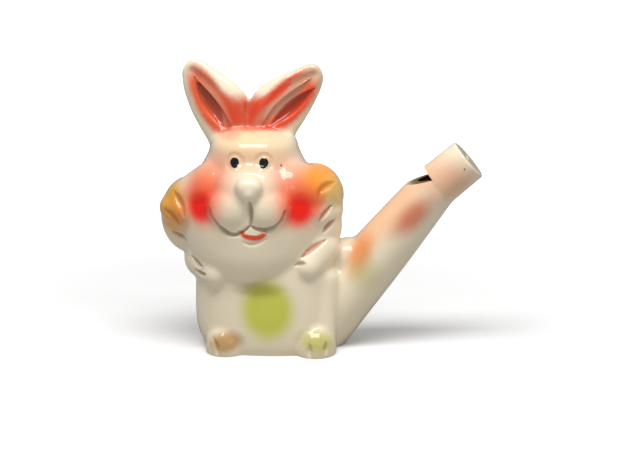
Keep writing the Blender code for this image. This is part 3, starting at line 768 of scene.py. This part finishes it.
eyeRing = 1.8                # radius of the ring pressed round each eye
toolMarks = (
    # mask, width, depth, share of the width left at the ends, and lines as x and height
    ("earGrooveLeft", 3.0, 0.9, 0.1, (
        ((-17.6, 65.6), (-15.0, 61.4), (-12.5, 57.8), (-11.1, 55.2)),
    )),
    ("earGroove", 3.0, 0.9, 0.1, (
        ((11.8, 64.7), (8.2, 61.4), (4.5, 58.4), (0.7, 55.3)),
    )),
    ("redBand", 3.4, 0.0, 0.2, (
        ((5.8, 66.0), (0.5, 62.2), (-3.2, 59.5), (-4.4, 56.0)),
    )),
    ("earCleft", 1.2, 0.5, 0.4, (
        ((-5.2, 62.0), (-5.1, 59.6), (-5.0, 57.4)),
    )),
    ("ridge", 3.2, -0.7, 0.2, (
        ((-18.2, 67.5), (-14.8, 63.8), (-11.4, 59.8), (-9.0, 55.8)),
        ((10.9, 67.3), (6.0, 63.8), (2.0, 60.4), (-1.2, 56.0)),
    )),
    ("hollow", 8.4, 1.3, 0.35, (
        ((-18.6, 68.4), (-15.4, 63.6), (-12.2, 59.1), (-10.2, 55.2)),
        ((11.4, 67.8), (7.0, 63.6), (2.7, 59.6), (-0.8, 55.8)),
    )),
    ("crease", 1.7, 0.9, 0.5, (
        ((-12.6, 37.4), (-11.5, 34.7), (-9.3, 32.3), (-7.0, 31.2), (-4.8, 31.9), (-2.7, 33.6)),
        ((-2.7, 33.6), (-0.9, 32.8), (1.8, 32.7), (4.2, 34.0), (5.8, 37.2)),
        ((-2.6, 39.4), (-2.5, 36.8), (-2.6, 33.8)),
    )),
    ("lipFold", 1.2, 0.4, 0.3, (
        ((-5.0, 29.9), (-2.6, 29.0), (1.8, 30.6)),
    )),
    ("sockets", 1.6, 0.3, 1.0, tuple(
        tuple((head["shift"] + side * face["eyeSpread"] + eyeRing * math.cos(turn * math.pi / 6),
               face["eyeHeight"] + eyeRing * math.sin(turn * math.pi / 6)) for turn in range(13))
        for side in (-1, 1))),
    ("orangeGroove", 2.6, 0.6, 0.2, (
        ((-22.6, 39.7), (-20.9, 37.9), (-19.9, 36.2), (-19.4, 34.4)),
        ((-25.1, 35.3), (-23.4, 34.4), (-21.9, 33.1), (-21.0, 31.8)),
        ((13.4, 39.2), (13.7, 40.7), (14.9, 41.7), (16.9, 42.5)),
    )),
    ("redGroove", 1.9, 0.8, 0.25, (
        ((13.4, 33.4), (14.9, 35.2), (16.4, 37.0)),
        ((14.3, 30.2), (15.4, 31.6), (17.1, 33.2)),
        ((9.1, 24.7), (11.8, 26.8), (15.1, 28.5)),
    )),
    ("brownGroove", 1.8, 0.8, 0.25, (
        ((-23.3, 29.3), (-21.5, 28.5), (-19.5, 27.4)),
        ((-18.2, 23.9), (-16.9, 22.7), (-15.0, 21.7)),
        ((-17.2, 20.6), (-15.7, 20.1), (-14.2, 20.2)),
        ((7.8, 22.9), (9.0, 23.4), (10.3, 23.5)),
    )),
    ("toeGroove", 1.6, 0.7, 0.3, (
        ((-12.4, 4.4), (-11.6, 2.6), (-11.2, 0.6)),
        ((11.5, 3.6), (11.5, 2.0), (11.5, 0.4)),
        ((15.5, 3.8), (15.5, 2.4), (15.5, 1.0)),
    )),
)


press = {
    "step": 0.25,            # between the points that the lines are measured from
    "steepness": 1.5,
    "endDepth": 0.3,         # share of the depth left where a line has no width
}


def drawLines(name, lines, skinTree):
    curve = bpy.data.curves.new(name, "CURVE")
    curve.dimensions = "3D"
    curve.resolution_u = 12
    for line in lines:
        spline = curve.splines.new("BEZIER")
        spline.bezier_points.add(len(line) - 1)
        for knot, (x, height) in zip(spline.bezier_points, line):
            knot.co = onFront(skinTree, x, height)
            knot.handle_left_type = knot.handle_right_type = "AUTO"
    return newObject(name, curve)


def makePressTree():         # presses the lines of another object into a skin
    tree = bpy.data.node_groups.new("toolMarks", "GeometryNodeTree")
    for label, kind in (("Skin", "Geometry"), ("Lines", "Object"), ("Width", "Float"),
                        ("Depth", "Float"), ("End Width", "Float"), ("Mask", "String"),
                        ("Material", "Material")):
        tree.interface.new_socket(label, in_out="INPUT", socket_type="NodeSocket" + kind)
    tree.interface.new_socket("Skin", in_out="OUTPUT", socket_type="NodeSocketGeometry")
    given = tree.nodes.new("NodeGroupInput").outputs
    result = tree.nodes.new("NodeGroupOutput").inputs
    lines = put(tree, "GeometryNodeObjectInfo", {"Object": given["Lines"]}).outputs["Geometry"]
    even = put(tree, "GeometryNodeResampleCurve", {"Curve": lines, "Length": press["step"]},
               mode="LENGTH").outputs["Curve"]
    factor = put(tree, "GeometryNodeSplineParameter").outputs["Factor"]
    capture = tree.nodes.new("GeometryNodeCaptureAttribute")
    capture.capture_items.new("FLOAT", "factor")
    tree.links.new(even, capture.inputs["Geometry"])
    tree.links.new(factor, capture.inputs["factor"])
    wire = put(tree, "GeometryNodeCurveToMesh", {
        "Curve": capture.outputs["Geometry"]}).outputs["Mesh"]
    place = put(tree, "GeometryNodeInputPosition").outputs[0]
    near = put(tree, "GeometryNodeProximity", {0: wire}, target_element="EDGES")
    nearest = put(tree, "GeometryNodeSampleNearest", {"Geometry": wire, "Sample Position": place},
                  domain="POINT").outputs["Index"]
    share = put(tree, "GeometryNodeSampleIndex", {
        "Geometry": wire, "Value": capture.outputs["factor"], "Index": nearest},
        data_type="FLOAT", domain="POINT").outputs[0]
    swell = sums(tree, "SINE", sums(tree, "MULTIPLY", share, math.pi))
    fullness = sums(tree, "MULTIPLY_ADD", sums(tree, "SUBTRACT", 1.0, given["End Width"]), swell,
                    given["End Width"])
    half = sums(tree, "MULTIPLY", sums(tree, "MULTIPLY", given["Width"], 0.5), fullness)
    away = sums(tree, "MINIMUM", sums(tree, "DIVIDE", near.outputs["Distance"], half), 1.0)
    inside = sums(tree, "SUBTRACT", 1.0, sums(tree, "MULTIPLY", away, away))
    push = sums(tree, "POWER", inside, press["steepness"])
    held = sums(tree, "MULTIPLY_ADD", fullness, 1 - press["endDepth"], press["endDepth"])
    depth = sums(tree, "MULTIPLY", sums(tree, "MULTIPLY", given["Depth"], push),
                 sums(tree, "MINIMUM", held, 1.0))
    normal = put(tree, "GeometryNodeInputNormal").outputs[0]
    shift = put(tree, "ShaderNodeVectorMath", {
        0: normal, "Scale": sums(tree, "MULTIPLY", depth, -1.0)}, operation="SCALE").outputs[0]
    marked = put(tree, "GeometryNodeStoreNamedAttribute", {
        "Geometry": given["Skin"], "Name": given["Mask"], "Value": push},
        data_type="FLOAT", domain="POINT")
    moved = put(tree, "GeometryNodeSetPosition", {"Geometry": marked.outputs[0], "Offset": shift})
    real = put(tree, "GeometryNodeRealizeInstances", {"Geometry": moved.outputs[0]})
    painted = put(tree, "GeometryNodeSetMaterial", {
        "Geometry": real.outputs[0], "Material": given["Material"]})
    tree.links.new(painted.outputs[0], result["Skin"])
    return tree


def pressMarks(rabbit, tree):
    skinTree = skinTreeOf(rabbit)
    sockets = {item.name: item.identifier for item in tree.interface.items_tree
               if item.in_out == "INPUT"}
    drawn = []
    for name, width, depth, ends, lines in toolMarks:
        marks = drawLines(name, lines, skinTree)
        pressing = rabbit.modifiers.new(name, "NODES")
        pressing.node_group = tree
        for label, value in (("Lines", marks), ("Width", width), ("Depth", depth),
                             ("End Width", ends), ("Mask", name), ("Material", creamGlaze)):
            pressing[sockets[label]] = value
        drawn.append(marks)
    settle(rabbit)
    for marks in drawn:
        curve = marks.data
        bpy.data.objects.remove(marks)
        bpy.data.curves.remove(curve)


# Cuts: the flat sole, the hollow, the window, the windway and the filling hole

def cutter(clay, name):
    obj = clayObject(clay, name, clayMaterial)
    obj.hide_render = True
    obj.display_type = "WIRE"
    return obj


def prism(name, outline, halfWidth):
    clay = bmesh.new()
    side = clay.faces.new([clay.verts.new(point - deep * halfWidth) for point in outline])
    pushed = bmesh.ops.extrude_face_region(clay, geom=[side])["geom"]
    moved = [v for v in pushed if isinstance(v, bmesh.types.BMVert)]
    bmesh.ops.translate(clay, verts=moved, vec=deep * 2 * halfWidth)
    return cutter(clay, name)


def soleCutter():
    clay = bmesh.new()
    place = Matrix.Translation(-up * surface["sink"]) @ Matrix.Diagonal(
        (surface["soleReach"], surface["soleReach"], 2 * surface["sink"], 1.0))
    bmesh.ops.create_cube(clay, size=1.0, matrix=place)
    return cutter(clay, "sole")


def hollowCutter():
    clay = bmesh.new()
    addTorso(clay, surface["wall"])
    addHead(clay, surface["wall"])
    addPipe(clay, surface["boreWall"])
    hollow = cutter(clay, "hollow")
    fuse(hollow, surface["hollowGrid"], surface["hollowSoftening"])
    hollow.data.materials.clear()
    hollow.data.materials.append(clayMaterial)
    return hollow


def boreEndCutter():         # crisp, so that the window ends in a sharp blade
    root, along, _ = pipeAxes()
    diameter, length, reach = pipe["boreEnd"]
    middle = root + along * (pipe["length"] + reach - (length + reach) / 2)
    place = Matrix.Translation(middle) @ along.to_track_quat("Z", "Y").to_matrix().to_4x4()
    clay = bmesh.new()
    bmesh.ops.create_cone(clay, cap_ends=True, segments=72, radius1=diameter / 2,
                          radius2=diameter / 2, depth=length + reach, matrix=place)
    return cutter(clay, "boreEnd")


def windowCutter():
    root, _, lift = mouthAxes()
    radius = pipe["mouthDiameter"] / 2
    angle = math.radians(pipe["angle"] - pipe["ramp"])
    slope = Vector((math.cos(angle), 0, math.sin(angle)))
    sill = root + lift * pipe["sill"]
    far = sill - slope * pipe["rampLength"]
    return prism("window", [far, sill, root + lift * 2 * radius, far + up * 3 * radius],
                 pipe["mouthDiameter"])


def windwayCutter():
    root, out, lift = mouthAxes()
    inner = root + lift * pipe["slotRaises"][0]
    outer = root + out * pipe["mouthLength"] + lift * pipe["slotRaises"][1]
    run = (outer - inner).normalized()
    thick = run.cross(deep) * pipe["slotHeight"] / 2
    inner = inner - run
    outer = outer + run
    return prism("windway", [inner - thick, outer - thick, outer + thick, inner + thick],
                 pipe["slotWidth"] / 2)


def holeCutter():
    clay = bmesh.new()
    place = Matrix.Translation((head["shift"], head["back"], hole["height"]))
    place = place @ Matrix.Rotation(math.pi / 2, 4, "X")
    bmesh.ops.create_cone(clay, cap_ends=True, segments=96, radius1=hole["diameter"] / 2,
                          radius2=hole["diameter"] / 2, depth=4 * surface["wall"], matrix=place)
    return cutter(clay, "fillingHole")


def cutOpen(rabbit):
    cutters = [soleCutter(), hollowCutter(), boreEndCutter(), windowCutter(), windwayCutter(),
               holeCutter()]
    for tool in cutters:
        cut = rabbit.modifiers.new(tool.name, "BOOLEAN")
        cut.operation = "DIFFERENCE"
        cut.solver = "EXACT"
        cut.material_mode = "TRANSFER"
        cut.object = tool
    settle(rabbit)
    for tool in cutters:
        mesh = tool.data
        bpy.data.objects.remove(tool)
        bpy.data.meshes.remove(mesh)


rabbit = modelRabbit()
print("rabbit modelled", len(rabbit.data.polygons))
pressMarks(rabbit, makePressTree())
print("tool marks pressed")
cutOpen(rabbit)
print("hollow, window, windway and filling hole cut", len(rabbit.data.polygons))
rabbit.data.transform(Matrix.Scale(mm, 4))
rabbit.data.shade_smooth()
rabbit.data.set_sharp_from_angle(angle=math.radians(surface["sharpAngle"]))
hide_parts("rabbit_whistle")
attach(rabbit, "root")


# Floor and light

room = {
    "floor": 3.0,
    "floorTone": (240, 240, 240),
    "bounceTone": (178, 176, 172),      # as light from it falls on the whistle
    "glow": (0.06, 0.26, 0.1, 1.0),     # as the camera sees it: near, far, and how strong at each
    "ambient": 0.34,
    "drop": 0.00002,         # of the floor below the sole
    "roughness": 0.7,
    "specular": 0.2,
    "lampAim": (0.0, 0.0, 0.035),
    "lamps": (               # name, place, size, watts
        ("overhead", (0.01, -0.15, 0.44), (0.40, 0.16), 2.0),
        ("window", (0.30, -0.42, 0.24), (0.10, 0.12), 0.07),
    ),
}


def seenDirectly(tree):      # 1 where the camera looks, also through something clear
    rays = tree.nodes.new("ShaderNodeLightPath").outputs
    return sums(tree, "MAXIMUM", rays["Is Camera Ray"], rays["Is Transmission Ray"])


def makeFloor():
    clay = bmesh.new()
    bmesh.ops.create_grid(clay, size=room["floor"] / 2)
    floor = clayObject(clay, "floor")
    floor.location.z = -room["drop"]
    material = bpy.data.materials.new("paleFloor")
    material.use_nodes = True
    tree = material.node_tree
    shader = tree.nodes["Principled BSDF"]
    seen = seenDirectly(tree)
    place = put(tree, "ShaderNodeTexCoord").outputs["Object"]
    away = put(tree, "ShaderNodeVectorMath", {0: place}, operation="LENGTH").outputs["Value"]
    near, far, weak, white = room["glow"]
    glow = ramped(tree, away, near, far, weak, white)
    tree.links.new(mixed(tree, seen, tone(*room["bounceTone"]), tone(*room["floorTone"])),
                   shader.inputs["Base Color"])
    shader.inputs["Roughness"].default_value = room["roughness"]
    shader.inputs["Specular IOR Level"].default_value = room["specular"]
    shader.inputs["Emission Color"].default_value = (1, 1, 1, 1)
    tree.links.new(sums(tree, "MULTIPLY", seen, glow), shader.inputs["Emission Strength"])
    floor.data.materials.append(material)


def makeWorld():
    world = bpy.data.worlds.new("studio")
    bpy.context.scene.world = world
    world.use_nodes = True
    tree = world.node_tree
    seen = seenDirectly(tree)
    background = tree.nodes["Background"]
    background.inputs["Color"].default_value = (1, 1, 1, 1)
    strength = ramped(tree, seen, 0.0, 1.0, room["ambient"], 1.0, "LINEAR")
    tree.links.new(strength, background.inputs["Strength"])


def makeLamps():
    for name, place, (width, height), power in room["lamps"]:
        lamp = bpy.data.lights.new(name, "AREA")
        lamp.shape = "RECTANGLE"
        lamp.size = width
        lamp.size_y = height
        lamp.energy = power
        obj = bpy.data.objects.new(name, lamp)
        bpy.context.scene.collection.objects.link(obj)
        obj.location = place
        aim = Vector(room["lampAim"]) - Vector(place)
        obj.rotation_mode = "QUATERNION"
        obj.rotation_quaternion = aim.to_track_quat("-Z", "Y")


makeFloor()
makeWorld()
makeLamps()
bpy.context.scene.view_settings.view_transform = "Standard"
print("floor and lamps set")
